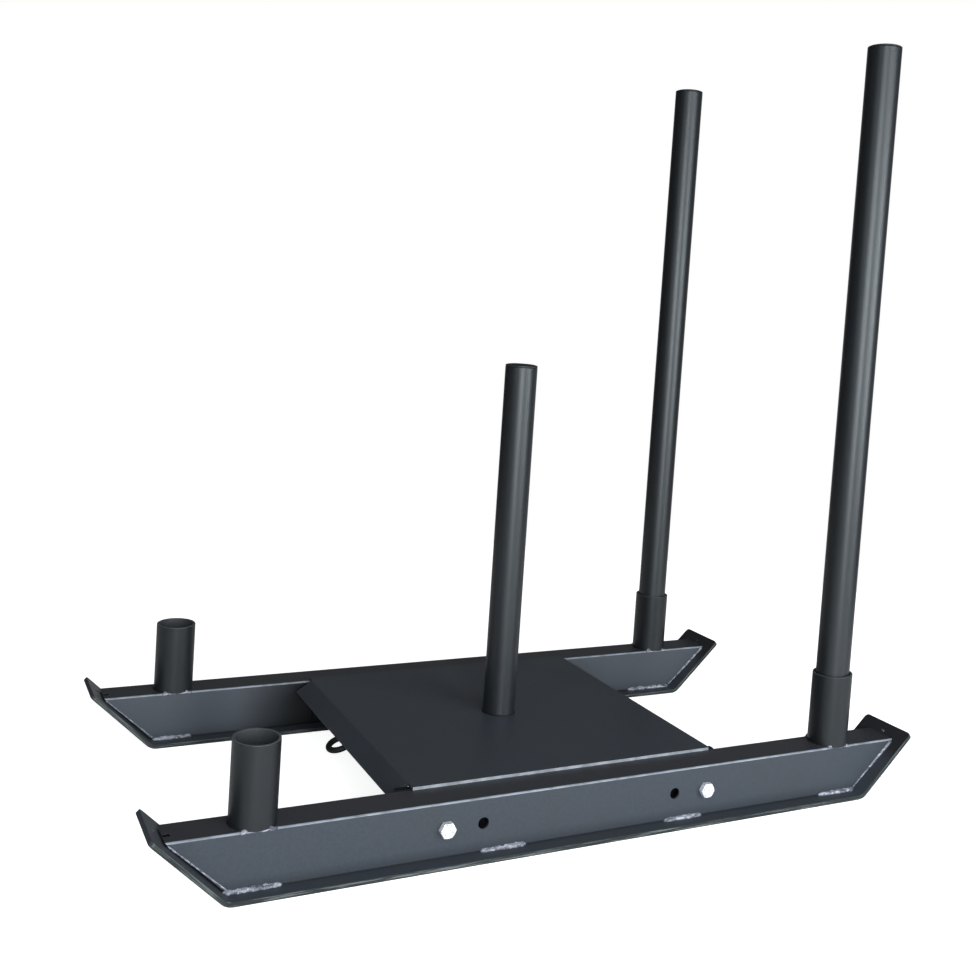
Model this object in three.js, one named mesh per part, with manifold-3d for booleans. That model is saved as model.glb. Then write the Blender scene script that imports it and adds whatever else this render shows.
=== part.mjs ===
import * as THREE from 'three';
import { mergeVertices } from 'three/addons/utils/BufferGeometryUtils.js';
import Module from 'manifold-3d';

const wasm = await Module();
wasm.setup();

// Push sled: two steel runners bolted to a folded deck that carries a post for weight plates.
// Four sockets stand on the runners, and two removable push poles stand in the rear pair.
// Lengths are in millimetres. The nose points to -x, the push poles stand towards +x, the left
// runner lies at -y, z is up, and z = 0 is the floor under the skids.

// Runner tubes: rectangular steel tube on edge, each end cut to the slope of the skid below it
const trackWidth = 476; // between the centrelines of the two runners
const tubeWidth = 50;
const tubeHeight = 70;
const tubeWall = 3;
const tubeCorner = 5; // outside corner radius of the rectangular tube

// Skid bars: flat bar under each runner, bent up at both ends
const skidWidth = 90;
const skidThickness = 6;
const skidFlatLength = 942; // between the two bend lines on the sole
const skidTipLength = 123.2; // from a bend line to the end of the tip, along the sole
const skidTipSlope = THREE.MathUtils.degToRad(43.8);
const skidBendRadius = 16; // inside radius of the bend
const skidTipCorner = 6;
const tipHoleDiameter = 7;
const tipHoleInset = 13.5; // from the end of the tip, along the slope

// Bolt and spare holes through the runner tubes, alike at both ends
const holeClearance = 1.5; // between a bolt and its hole
const holeHeight = 37; // above the foot of the runner tube
const boltSpacing = 392; // between the two bolts of one runner
const spareHolePitch = 51; // from a bolt to the spare hole beside it

// Sockets: short round tubes standing on the runners
const socketWall = 3.5;
const socketHeight = 100;
const socketInset = 37; // from a bend line of the skid to the middle of the socket above it
const rimEase = 0.6; // chamfer that takes the burr off a sawn tube end

// Push poles and weight post: the same round tube in two lengths, each closed by a plug
const poleDiameter = 48;
const poleWall = 3;
const poleClearance = 1; // between a pole and the bore of its socket
const poleLength = 1018;
const postHeight = 521.7; // above the top of the deck
const postClearance = 0.5; // between the post and its hole in the deck

// Plugs that close the tops of the round tubes
const capLip = 1.2; // straight edge of the head below its dome
const capHeight = 4;
const capFlatDiameter = 22;
const plugDepth = 22;
const plugWall = 1.8;
const finCount = 3;
const finReach = 1.4;
const finThickness = 1.2;
const finPitch = 5.5;
const plugClearance = 0.3; // between the fins and the bore of the tube

// Deck: sheet steel lying on the runner tops, with a flap folded down at its front and rear
const deckThickness = 4;
const deckLength = 461; // between the two fold lines
const deckOffset = 4; // how far the middle of the deck lies behind the middle of the runners
const deckBearing = 4; // how far the deck reaches over each runner
const deckFoldRadius = 3; // inside radius of the folds
const flapLength = 28.5; // from the fold line to the lower edge
const flapSlope = THREE.MathUtils.degToRad(34);
const flapInset = 10; // from the inner side of a runner to the side of a flap

// Frame under the deck: two side plates bolted to the runners, and cross tubes between them
const sidePlateMargin = 22; // from a bolt to the end of the side plate
const sidePlateHeight = 60;
const sidePlateThickness = 6;
const sidePlateClearance = 0.5; // between a side plate and its runner
const crossTubeSize = 50;
const crossTubeWall = 3;
const crossTubeCorner = 4;
const crossTubeSpacing = 104; // between neighbouring cross tubes

// Tow loop: a bent rod under the front flap
const loopRod = 8.4;
const loopWidth = 33; // between the centrelines of its legs
const loopReach = 16; // how far its centreline reaches past the lower edge of the flap
const loopSlope = THREE.MathUtils.degToRad(20);

// Fasteners
const boltDiameter = 12;
const boltEndReach = 9.3; // how far a bolt stands out of its nut
const boltEndChamfer = 1.5;
const headHeight = 7.5;
const nutHeight = 10.8;
const acrossFlats = 19;
const hexFlatShare = 0.95; // diameter of the flat face of a head or nut over its width across flats
const hexChamferSlope = THREE.MathUtils.degToRad(30);
const nutClearance = 0.3; // between a bolt and the bore of its nut, which has no thread
const washerDiameter = 24;
const washerClearance = 0.5; // between a bolt and the bore of its washer
const washerThickness = 2.5;

// Making
const seatGap = 0.3; // left between pieces that are seated on each other across a slope or a turn
const overrun = 10; // how far a cutting tool runs past what it cuts
const roundSegments = 32;
const holeSegments = 20;
const bendSegments = 6;
const cornerSegments = 4;
const domeSegments = 6;
const rodSides = 10;
const rodSteps = 44;

// Places worked out from the sizes above
const runnerFoot = skidThickness;
const runnerTop = runnerFoot + tubeHeight;
const holeLevel = runnerFoot + holeHeight;
const holeDiameter = boltDiameter + 2 * holeClearance;
const runnerInside = (trackWidth - tubeWidth) / 2;
const socketDiameter = poleDiameter + 2 * (poleClearance + socketWall);
const socketSpacing = skidFlatLength - 2 * socketInset;
const sidePlateLength = boltSpacing + 2 * sidePlateMargin;
const sides = [
  { name: 'left', sign: -1 },
  { name: 'right', sign: 1 },
];
const ends = [
  { name: 'front', sign: -1 },
  { name: 'rear', sign: 1 },
];

// Axis turns with whole-number matrices, so that turned flat faces stay exactly flat
const xAxis = new THREE.Vector3(1, 0, 0);
const yAxis = new THREE.Vector3(0, 1, 0);
const zAxis = new THREE.Vector3(0, 0, 1);
const uprightTurn = new THREE.Matrix4().makeBasis(xAxis, zAxis, yAxis.clone().negate());
const lengthwiseTurn = new THREE.Matrix4().makeBasis(yAxis, zAxis, xAxis);

function joinedVertices(geometry) {
  geometry.deleteAttribute('normal');
  geometry.deleteAttribute('uv');
  return mergeVertices(geometry);
}

function solidOf(geometry) {
  const joined = joinedVertices(geometry);
  const vertProperties = new Float32Array(joined.attributes.position.array);
  const triVerts = new Uint32Array(joined.index.array);
  return new wasm.Manifold(new wasm.Mesh({ numProp: 3, vertProperties, triVerts }));
}

function geometryOf(solid) {
  const mesh = solid.getMesh();
  const geometry = new THREE.BufferGeometry();
  geometry.setAttribute('position', new THREE.BufferAttribute(mesh.vertProperties, 3));
  geometry.setIndex(new THREE.BufferAttribute(mesh.triVerts, 1));
  return geometry;
}

function cut(body, tools) {
  let solid = solidOf(body);
  for (const tool of tools) {
    solid = solid.subtract(solidOf(tool));
  }
  return geometryOf(solid);
}

// Each arc of a shape is drawn with twice its curveSegments, so half the wanted count is given
function extrude(shape, length, arcSegments) {
  return new THREE.ExtrudeGeometry(shape, {
    depth: length,
    bevelEnabled: false,
    curveSegments: arcSegments / 2,
  });
}

// A profile drawn in x and z, with its length across the sled and its middle at y = 0
function extrudeAcross(shape, length, arcSegments) {
  return extrude(shape, length, arcSegments)
    .applyMatrix4(uprightTurn)
    .translate(0, length / 2, 0);
}

// A profile drawn in y and z, with its length along the sled and its middle at x = 0
function extrudeAlong(shape, length, arcSegments) {
  return extrude(shape, length, arcSegments)
    .applyMatrix4(lengthwiseTurn)
    .translate(-length / 2, 0, 0);
}

// A profile of [radius, height] points turned about the z axis
function revolve(profile) {
  const points = profile.map(([radius, height]) => new THREE.Vector2(radius, height));
  return new THREE.LatheGeometry(points, roundSegments).applyMatrix4(uprightTurn);
}

function roundBar(diameter, length) {
  return revolve([
    [0, 0],
    [diameter / 2, 0],
    [diameter / 2, length],
    [0, length],
  ]);
}

function roundTube(diameter, wall, length) {
  const outside = diameter / 2;
  const inside = outside - wall;
  return revolve([
    [inside, 0],
    [outside, 0],
    [outside, length - rimEase],
    [outside - rimEase, length],
    [inside + rimEase, length],
    [inside, length - rimEase],
    [inside, 0],
  ]);
}

function traceRoundedRectangle(outline, width, height, radius) {
  const x = width / 2 - radius;
  const y = height / 2 - radius;
  const corners = [
    [x, y],
    [-x, y],
    [-x, -y],
    [x, -y],
  ];
  corners.forEach(([cornerX, cornerY], index) => {
    const start = (index * Math.PI) / 2;
    outline.absarc(cornerX, cornerY, radius, start, start + Math.PI / 2);
  });
  outline.closePath();
  return outline;
}

// The section of a rectangular tube, with a bore that keeps the wall even round the corners
function tubeSection(width, height, wall, corner) {
  const section = traceRoundedRectangle(new THREE.Shape(), width, height, corner);
  const bore = traceRoundedRectangle(
    new THREE.Path(),
    width - 2 * wall,
    height - 2 * wall,
    Math.max(corner - wall, rimEase),
  );
  section.holes.push(bore);
  return section;
}

// Skid bar. The bends are drawn about these centres, which the runner ends follow as well.
const soleBendRadius = skidBendRadius + skidThickness;
const bendTangent = soleBendRadius * Math.tan(skidTipSlope / 2);
const bendCentreX = skidFlatLength / 2 - bendTangent;
const bendCentreZ = soleBendRadius;
const tipRun = skidTipLength * Math.cos(skidTipSlope);
const tipRise = skidTipLength * Math.sin(skidTipSlope);
const tipEndX = skidFlatLength / 2 + tipRun;

function skidProfile() {
  const down = -Math.PI / 2;
  const acrossX = skidThickness * Math.sin(skidTipSlope);
  const acrossZ = skidThickness * Math.cos(skidTipSlope);
  const profile = new THREE.Shape();
  profile.moveTo(-tipEndX + acrossX, tipRise + acrossZ);
  profile.lineTo(-tipEndX, tipRise);
  profile.absarc(-bendCentreX, bendCentreZ, soleBendRadius, down - skidTipSlope, down);
  profile.absarc(bendCentreX, bendCentreZ, soleBendRadius, down, down + skidTipSlope);
  profile.lineTo(tipEndX, tipRise);
  profile.lineTo(tipEndX - acrossX, tipRise + acrossZ);
  profile.absarc(bendCentreX, bendCentreZ, skidBendRadius, down + skidTipSlope, down, true);
  profile.absarc(-bendCentreX, bendCentreZ, skidBendRadius, down, down - skidTipSlope, true);
  profile.closePath();
  return profile;
}

function skidBar() {
  const bar = solidOf(extrudeAcross(skidProfile(), skidWidth, bendSegments));
  const plan = traceRoundedRectangle(
    new THREE.Shape(),
    2 * tipEndX,
    skidWidth,
    skidTipCorner,
  );
  const planHeight = tipRise + skidThickness + 2 * overrun;
  const blank = extrude(plan, planHeight, cornerSegments).translate(0, 0, -overrun);
  let solid = bar.intersect(solidOf(blank));
  for (const end of ends) {
    const drillLength = skidThickness + 2 * overrun;
    const drill = roundBar(tipHoleDiameter, drillLength);
    drill.translate(0, 0, -overrun);
    drill.rotateY(-end.sign * skidTipSlope);
    drill.translate(
      end.sign * (tipEndX - tipHoleInset * Math.cos(skidTipSlope)),
      0,
      tipRise - tipHoleInset * Math.sin(skidTipSlope),
    );
    solid = solid.subtract(solidOf(drill));
  }
  return geometryOf(solid);
}

// What is sawn off the rear end of a runner tube: the space from the top of the bent skid outwards
function runnerEndCutter() {
  const down = -Math.PI / 2;
  const radius = skidBendRadius - seatGap;
  const sawLength = (tubeHeight + overrun) / Math.sin(skidTipSlope);
  const sawStartX = bendCentreX + radius * Math.sin(skidTipSlope);
  const sawStartZ = bendCentreZ - radius * Math.cos(skidTipSlope);
  const sawEndX = sawStartX + sawLength * Math.cos(skidTipSlope);
  const sawEndZ = sawStartZ + sawLength * Math.sin(skidTipSlope);
  const waste = new THREE.Shape();
  waste.moveTo(bendCentreX, runnerFoot - overrun);
  waste.lineTo(sawEndX + overrun, runnerFoot - overrun);
  waste.lineTo(sawEndX + overrun, sawEndZ);
  waste.lineTo(sawEndX, sawEndZ);
  waste.lineTo(sawStartX, sawStartZ);
  waste.absarc(bendCentreX, bendCentreZ, radius, down + skidTipSlope, down, true);
  waste.closePath();
  return extrudeAcross(waste, tubeWidth + 2 * overrun, bendSegments);
}

function crossDrill(x, diameter, length) {
  const circle = new THREE.Shape().absarc(x, holeLevel, diameter / 2, 0, 2 * Math.PI);
  return extrudeAcross(circle, length, holeSegments);
}

function holePlaces() {
  return ends.flatMap((end) => [
    (end.sign * boltSpacing) / 2,
    end.sign * (boltSpacing / 2 - spareHolePitch),
  ]);
}

function runnerTube() {
  const section = tubeSection(tubeWidth, tubeHeight, tubeWall, tubeCorner);
  const tube = extrudeAlong(section, 2 * tipEndX, cornerSegments);
  tube.translate(0, 0, runnerFoot + tubeHeight / 2);
  const rearCutter = runnerEndCutter();
  const frontCutter = runnerEndCutter().rotateZ(Math.PI);
  const drills = holePlaces().map((x) => crossDrill(x, holeDiameter, tubeWidth + 2 * overrun));
  return cut(tube, [rearCutter, frontCutter, ...drills]);
}

// Plug cap: a shallow dome over a hollow barrel with saw-tooth fins, its seat at z = 0
function plugCap() {
  const headRadius = poleDiameter / 2;
  const flatRadius = capFlatDiameter / 2;
  const finRadius = headRadius - poleWall - plugClearance;
  const barrelRadius = finRadius - finReach;
  const profile = [
    [0, 0],
    [barrelRadius - plugWall, 0],
    [barrelRadius - plugWall, -plugDepth],
    [barrelRadius, -plugDepth],
  ];
  for (let fin = 0; fin < finCount; fin += 1) {
    const foot = -plugDepth + finThickness + fin * finPitch;
    profile.push([barrelRadius, foot], [finRadius, foot + finThickness]);
    profile.push([barrelRadius, foot + finThickness]);
  }
  profile.push([barrelRadius, 0], [headRadius, 0]);
  const dome = new THREE.EllipseCurve(
    flatRadius,
    capLip,
    headRadius - flatRadius,
    capHeight - capLip,
    0,
    Math.PI / 2,
  );
  for (const point of dome.getPoints(domeSegments)) {
    profile.push([point.x, point.y]);
  }
  profile.push([0, capHeight]);
  return revolve(profile);
}

// Deck plate: the flat and its two folded flaps in one profile, then the flap corners notched
const foldOutside = deckFoldRadius + deckThickness;
const foldTangent = foldOutside * Math.tan(flapSlope / 2);
const foldCentreX = deckLength / 2 - foldTangent;
const foldCentreZ = -foldOutside;
const flapEdgeX = deckLength / 2 + flapLength * Math.cos(flapSlope);
const flapEdgeZ = -flapLength * Math.sin(flapSlope);
const flapUnderX = flapEdgeX - deckThickness * Math.sin(flapSlope);
const flapUnderZ = flapEdgeZ - deckThickness * Math.cos(flapSlope);

// Drawn with the top of the deck at z = 0
function deckProfile() {
  const up = Math.PI / 2;
  const profile = new THREE.Shape();
  profile.moveTo(flapUnderX, flapUnderZ);
  profile.lineTo(flapEdgeX, flapEdgeZ);
  profile.absarc(foldCentreX, foldCentreZ, foldOutside, up - flapSlope, up);
  profile.absarc(-foldCentreX, foldCentreZ, foldOutside, up, up + flapSlope);
  profile.lineTo(-flapEdgeX, flapEdgeZ);
  profile.lineTo(-flapUnderX, flapUnderZ);
  profile.absarc(-foldCentreX, foldCentreZ, deckFoldRadius, up + flapSlope, up, true);
  profile.absarc(foldCentreX, foldCentreZ, deckFoldRadius, up, up - flapSlope, true);
  profile.closePath();
  return profile;
}

function deckPlate() {
  const plateWidth = 2 * (runnerInside + deckBearing);
  const plate = extrudeAcross(deckProfile(), plateWidth, bendSegments);
  const notchLength = flapEdgeX - foldCentreX + overrun;
  const notchWidth = flapInset + deckBearing + overrun;
  const notchHeight = 2 * (overrun - flapUnderZ);
  const notches = [];
  for (const side of sides) {
    for (const end of ends) {
      const notch = new THREE.BoxGeometry(notchLength, notchWidth, notchHeight);
      notch.translate(
        end.sign * (foldCentreX + notchLength / 2),
        side.sign * (runnerInside - flapInset + notchWidth / 2),
        0,
      );
      notches.push(notch);
    }
  }
  const postHole = roundBar(poleDiameter + 2 * postClearance, 2 * overrun);
  postHole.translate(0, 0, -overrun);
  return cut(plate, [...notches, postHole]);
}

// Side plate: flat bar hung under the deck, drilled to match the runner beside it
function sidePlate() {
  const plate = new THREE.Shape();
  plate.moveTo(-sidePlateLength / 2, runnerTop - sidePlateHeight);
  plate.lineTo(sidePlateLength / 2, runnerTop - sidePlateHeight);
  plate.lineTo(sidePlateLength / 2, runnerTop);
  plate.lineTo(-sidePlateLength / 2, runnerTop);
  plate.closePath();
  for (const x of holePlaces()) {
    plate.holes.push(new THREE.Path().absarc(x, holeLevel, holeDiameter / 2, 0, 2 * Math.PI));
  }
  return extrudeAcross(plate, sidePlateThickness, holeSegments);
}

// The line that the tow loop is bent to, from one leg end round the bow to the other
class HairpinCurve extends THREE.Curve {
  constructor(legLength, bowRadius) {
    super();
    this.legLength = legLength;
    this.bowRadius = bowRadius;
  }

  getPoint(t, target = new THREE.Vector3()) {
    const bowLength = Math.PI * this.bowRadius;
    const travelled = t * (2 * this.legLength + bowLength) - this.legLength;
    if (travelled < 0) {
      return target.set(-travelled, this.bowRadius, 0);
    }
    if (travelled > bowLength) {
      return target.set(travelled - bowLength, -this.bowRadius, 0);
    }
    const angle = travelled / this.bowRadius;
    return target.set(
      -this.bowRadius * Math.sin(angle),
      this.bowRadius * Math.cos(angle),
      0,
    );
  }
}

// The legs touch the lower edge of the flap and end where they meet the underside of the deck.
// Points are in the frame of the deck, with the top of the deck at z = 0.
const bowRadius = loopWidth / 2;
const legOffset = loopRod / 2 + seatGap;
const underEdgeX = -flapUnderX + legOffset * Math.sin(loopSlope);
const underEdgeZ = flapUnderZ - legOffset * Math.cos(loopSlope);
const bowCentreX = underEdgeX - (loopReach - bowRadius) * Math.cos(loopSlope);
const bowCentreZ = underEdgeZ - (loopReach - bowRadius) * Math.sin(loopSlope);
const legTopLevel = -deckThickness - seatGap - (loopRod / 2) * Math.cos(loopSlope);
const legLength = (legTopLevel - bowCentreZ) / Math.sin(loopSlope);

function towLoop() {
  const section = new THREE.Shape().absarc(0, 0, loopRod / 2, 0, 2 * Math.PI);
  return new THREE.ExtrudeGeometry(section, {
    extrudePath: new HairpinCurve(legLength, bowRadius),
    steps: rodSteps,
    curveSegments: rodSides / 2,
    bevelEnabled: false,
  });
}

// Fasteners are drawn along +y, which points into the sled, with y = 0 under the bolt head
function hexagonPrism(height) {
  const cornerRadius = acrossFlats / Math.sqrt(3);
  const hexagon = new THREE.Shape();
  for (let corner = 0; corner < 6; corner += 1) {
    const angle = (corner * Math.PI) / 3;
    hexagon.lineTo(cornerRadius * Math.cos(angle), cornerRadius * Math.sin(angle));
  }
  hexagon.closePath();
  return extrudeAcross(hexagon, height, cornerSegments).translate(0, height / 2, 0);
}

// The turned outline that takes the corners off a head or a nut at one end or both
function hexChamfer(height, bothEnds) {
  const flatRadius = (hexFlatShare * acrossFlats) / 2;
  const outside = (acrossFlats + overrun) / 2;
  const drop = (outside - flatRadius) * Math.tan(hexChamferSlope);
  const points = [
    new THREE.Vector2(0, 0),
    new THREE.Vector2(bothEnds ? flatRadius : outside, 0),
    new THREE.Vector2(outside, bothEnds ? drop : 0),
    new THREE.Vector2(outside, height - drop),
    new THREE.Vector2(flatRadius, height),
    new THREE.Vector2(0, height),
  ];
  const outline = bothEnds ? points : points.filter((point, index) => index !== 2);
  return new THREE.LatheGeometry(outline, holeSegments);
}

function barAlongY(diameter, start, end, chamfer = 0) {
  const points = [
    new THREE.Vector2(0, start),
    new THREE.Vector2(diameter / 2, start),
    new THREE.Vector2(diameter / 2, end - chamfer),
    new THREE.Vector2(diameter / 2 - chamfer, end),
    new THREE.Vector2(0, end),
  ];
  const outline = chamfer > 0 ? points : points.filter((point, index) => index !== 3);
  return new THREE.LatheGeometry(outline, holeSegments);
}

const clampedWidth = seatGap + tubeWidth + sidePlateClearance + sidePlateThickness;
const washerSeat = clampedWidth + seatGap;
const nutSeat = washerSeat + washerThickness + seatGap;
const boltLength = nutSeat + nutHeight + boltEndReach;

function hexBolt() {
  const head = solidOf(hexagonPrism(headHeight)).intersect(solidOf(hexChamfer(headHeight, false)));
  const shankStart = -headHeight / 2;
  const shank = barAlongY(boltDiameter, shankStart, boltLength, boltEndChamfer);
  return geometryOf(head.rotate([180, 0, 0]).add(solidOf(shank)));
}

function hexNut() {
  const blank = solidOf(hexagonPrism(nutHeight)).intersect(solidOf(hexChamfer(nutHeight, true)));
  const bore = barAlongY(boltDiameter + 2 * nutClearance, -overrun, nutHeight + overrun);
  return geometryOf(blank.subtract(solidOf(bore)));
}

function plainWasher() {
  const inside = boltDiameter / 2 + washerClearance;
  const points = [
    new THREE.Vector2(inside, 0),
    new THREE.Vector2(washerDiameter / 2, 0),
    new THREE.Vector2(washerDiameter / 2, washerThickness),
    new THREE.Vector2(inside, washerThickness),
    new THREE.Vector2(inside, 0),
  ];
  return new THREE.LatheGeometry(points, holeSegments);
}

// Finishes
const powderCoat = new THREE.MeshStandardMaterial({
  color: 0x2c3036,
  roughness: 0.5,
  metalness: 0.15,
  flatShading: true,
});
const moulding = new THREE.MeshStandardMaterial({
  color: 0x17191b,
  roughness: 0.6,
  metalness: 0,
  flatShading: true,
});
const zincPlate = new THREE.MeshStandardMaterial({
  color: 0xd3d6da,
  roughness: 0.35,
  metalness: 0.85,
  flatShading: true,
});

const sled = new THREE.Group();

function addPiece(parent, name, geometry, material, x = 0, y = 0, z = 0) {
  const piece = new THREE.Mesh(geometry, material.clone());
  piece.name = name;
  piece.position.set(x, y, z);
  parent.add(piece);
}

// One side of the sled: runner, skid, sockets, and the bolts that hold the side plate to them
function addRunner(side) {
  const runner = new THREE.Group();
  runner.position.y = (side.sign * trackWidth) / 2;
  sled.add(runner);
  addPiece(runner, `${side.name}_runner_tube`, runnerTube(), powderCoat);
  addPiece(runner, `${side.name}_skid_bar`, skidBar(), powderCoat);
  for (const end of ends) {
    addPiece(
      runner,
      `${end.name}_${side.name}_socket`,
      roundTube(socketDiameter, socketWall, socketHeight),
      powderCoat,
      (end.sign * socketSpacing) / 2,
      0,
      runnerTop,
    );
    addFasteners(runner, side, end);
  }
}

function addFasteners(runner, side, end) {
  const stack = new THREE.Group();
  stack.position.x = (end.sign * boltSpacing) / 2;
  stack.position.y = side.sign * (tubeWidth / 2 + seatGap);
  stack.position.z = holeLevel;
  stack.rotation.z = side.sign > 0 ? Math.PI : 0;
  runner.add(stack);
  const label = `${end.name}_${side.name}`;
  addPiece(stack, `${label}_bolt`, hexBolt(), zincPlate);
  addPiece(stack, `${label}_washer`, plainWasher(), zincPlate, 0, washerSeat, 0);
  addPiece(stack, `${label}_nut`, hexNut(), zincPlate, 0, nutSeat, 0);
}

// Push pole: stands loose in the rear socket, on the top of the runner
function addPushPole(side) {
  const pole = new THREE.Group();
  pole.position.x = socketSpacing / 2;
  pole.position.y = (side.sign * trackWidth) / 2;
  pole.position.z = runnerTop + seatGap;
  sled.add(pole);
  const tube = roundTube(poleDiameter, poleWall, poleLength);
  addPiece(pole, `${side.name}_push_pole`, tube, powderCoat);
  addPiece(pole, `${side.name}_pole_cap`, plugCap(), moulding, 0, 0, poleLength + seatGap);
}

// Deck with its frame, tow loop and weight post, which stands through the deck on a cross tube
function addDeck() {
  const deck = new THREE.Group();
  deck.position.x = deckOffset;
  deck.position.z = runnerTop + deckThickness;
  sled.add(deck);
  addPiece(deck, 'deck_plate', deckPlate(), powderCoat);

  const postLength = postHeight + deckThickness;
  const post = roundTube(poleDiameter, poleWall, postLength);
  addPiece(deck, 'weight_post', post, powderCoat, 0, 0, -deckThickness);
  addPiece(deck, 'weight_post_cap', plugCap(), moulding, 0, 0, postHeight + seatGap);

  const crossLength = 2 * (runnerInside - sidePlateClearance - sidePlateThickness);
  const crossSection = tubeSection(
    crossTubeSize,
    crossTubeSize,
    crossTubeWall,
    crossTubeCorner,
  );
  ['front', 'centre', 'rear'].forEach((label, index) => {
    addPiece(
      deck,
      `${label}_cross_tube`,
      extrudeAcross(crossSection, crossLength, cornerSegments),
      powderCoat,
      (index - 1) * crossTubeSpacing,
      0,
      -deckThickness - crossTubeSize / 2,
    );
  });

  const loop = new THREE.Group();
  loop.position.set(bowCentreX, 0, bowCentreZ);
  loop.rotation.y = -loopSlope;
  deck.add(loop);
  addPiece(loop, 'tow_loop', towLoop(), powderCoat);
}

function addSidePlate(side) {
  const y = side.sign * (runnerInside - sidePlateClearance - sidePlateThickness / 2);
  addPiece(sled, `${side.name}_side_plate`, sidePlate(), powderCoat, 0, y);
}

for (const side of sides) {
  addRunner(side);
  addPushPole(side);
  addSidePlate(side);
}
addDeck();

export default sled;
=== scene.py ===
from math import ceil, cos, pi, radians, sin, sqrt, tan

import bmesh
import bpy
from mathutils import Matrix, Vector, noise


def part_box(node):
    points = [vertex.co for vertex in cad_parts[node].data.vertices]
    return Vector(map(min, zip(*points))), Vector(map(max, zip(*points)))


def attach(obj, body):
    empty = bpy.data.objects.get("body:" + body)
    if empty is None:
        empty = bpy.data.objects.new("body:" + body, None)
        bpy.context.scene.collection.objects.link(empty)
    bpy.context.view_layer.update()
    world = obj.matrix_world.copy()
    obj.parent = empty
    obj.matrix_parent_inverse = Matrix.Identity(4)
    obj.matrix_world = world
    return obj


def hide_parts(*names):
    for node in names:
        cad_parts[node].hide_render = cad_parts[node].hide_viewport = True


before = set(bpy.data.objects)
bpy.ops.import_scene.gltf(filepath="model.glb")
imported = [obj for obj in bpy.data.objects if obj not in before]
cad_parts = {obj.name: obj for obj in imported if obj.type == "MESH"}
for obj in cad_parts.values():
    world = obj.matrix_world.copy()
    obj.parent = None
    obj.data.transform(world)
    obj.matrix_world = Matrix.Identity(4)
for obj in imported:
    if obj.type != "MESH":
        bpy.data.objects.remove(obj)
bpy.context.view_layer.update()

# Push sled, in metres. The nose points to -x, the push poles stand towards +x, the left runner
# lies at -y, and the skids rest on z = 0.

# Skid bars. Flat bar, 90 by 6 mm, under each runner, with both ends bent up on a press brake and a
# small hole drilled through each tip. The bar is welded to the runner and powder coated with it.
bar_thickness = 0.006
bar_bend_inside = 0.016
bar_bend_outside = bar_bend_inside + bar_thickness
bar_tip_slope = radians(43.8)
bar_tip_corner = 0.006
bar_edge_ease = 0.0008
bend_steps = 12
sharp_edge = radians(28)
tip_hole_radius = 0.0029
tip_hole_inset = 0.0135
streak_turn = 0.4710
streak_stretch = 0.03
cutter_reach = 0.02
runner_sides = {"left": -1, "right": 1}


def arc(centre, radius, start, end, steps):
    """Points on an arc, from one angle to another."""
    turn = (end - start) / steps
    angles = [start + turn * step for step in range(steps + 1)]
    return [(centre[0] + radius * cos(a), centre[1] + radius * sin(a)) for a in angles]


def placed(point, axis, along):
    """A point of an outline, set at a distance along the axis that the outline is swept on."""
    u, v = point
    return {"x": (along, u, v), "y": (u, along, v), "z": (u, v, along)}[axis]


def object_from(name, shape):
    bmesh.ops.recalc_face_normals(shape, faces=shape.faces)
    mesh = bpy.data.meshes.new(name)
    shape.to_mesh(mesh)
    shape.free()
    piece = bpy.data.objects.new(name, mesh)
    bpy.context.scene.collection.objects.link(piece)
    return piece


def bridge(shape, near, far):
    """Joins two rings of as many points by a band of faces."""
    for i in range(len(near)):
        j = (i + 1) % len(near)
        shape.faces.new((near[i], near[j], far[j], far[i]))


def swept(name, outline, axis, start, end, bore=None):
    """A bar with this outline for its section, or a tube where a bore of as many points is given."""
    shape = bmesh.new()
    rings = []
    for loop in (outline, bore):
        if loop:
            rings.append([[shape.verts.new(placed(p, axis, at)) for p in loop] for at in (start, end)])
    for near, far in rings:
        bridge(shape, near, far)
    for end_index in (0, 1):
        if bore:
            bridge(shape, rings[0][end_index], rings[1][end_index])
        else:
            shape.faces.new(rings[0][end_index])
    return object_from(name, shape)


def bake_modifiers(piece):
    """Replaces a piece's mesh by the result of its modifiers."""
    graph = bpy.context.evaluated_depsgraph_get()
    graph.update()
    piece.data = bpy.data.meshes.new_from_object(piece.evaluated_get(graph))
    piece.modifiers.clear()


def machine(piece, tools, operation="DIFFERENCE"):
    """Cuts a piece with each tool in turn, and throws the tools away."""
    for tool in tools:
        step = piece.modifiers.new("cut", "BOOLEAN")
        step.object = tool
        step.operation = operation
        step.solver = "EXACT"
        bake_modifiers(piece)
    for tool in tools:
        bpy.data.objects.remove(tool)


def smooth_faces(piece, sharp=sharp_edge):
    piece.data.shade_smooth()
    piece.data.set_sharp_from_angle(angle=sharp)
    weighted = piece.modifiers.new("flat faces stay flat", "WEIGHTED_NORMAL")
    weighted.keep_sharp = True
    bake_modifiers(piece)


def ease_edges(piece, width, sharp=sharp_edge, steps=3):
    """Rounds every sharp edge, as blasting and powder coat leave it, and smooths the shading."""
    bevel = piece.modifiers.new("ease", "BEVEL")
    bevel.width = width
    bevel.segments = steps
    bevel.limit_method = "ANGLE"
    bevel.angle_limit = sharp
    bevel.use_clamp_overlap = True
    bake_modifiers(piece)
    smooth_faces(piece, sharp)


def rod(centre, radius, axis, start, end, sides=48):
    """A plain round rod, used as a drill."""
    return swept("drill", arc(centre, radius, 0, 2 * pi, sides)[:-1], axis, start, end)


def fit(piece, material, slot_name, body, *nodes):
    """Gives a piece its material and its body, and lets it stand for its solids."""
    piece.data.materials.clear()
    piece.data.materials.append(material)
    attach(piece, body)
    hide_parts(*nodes)


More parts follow.
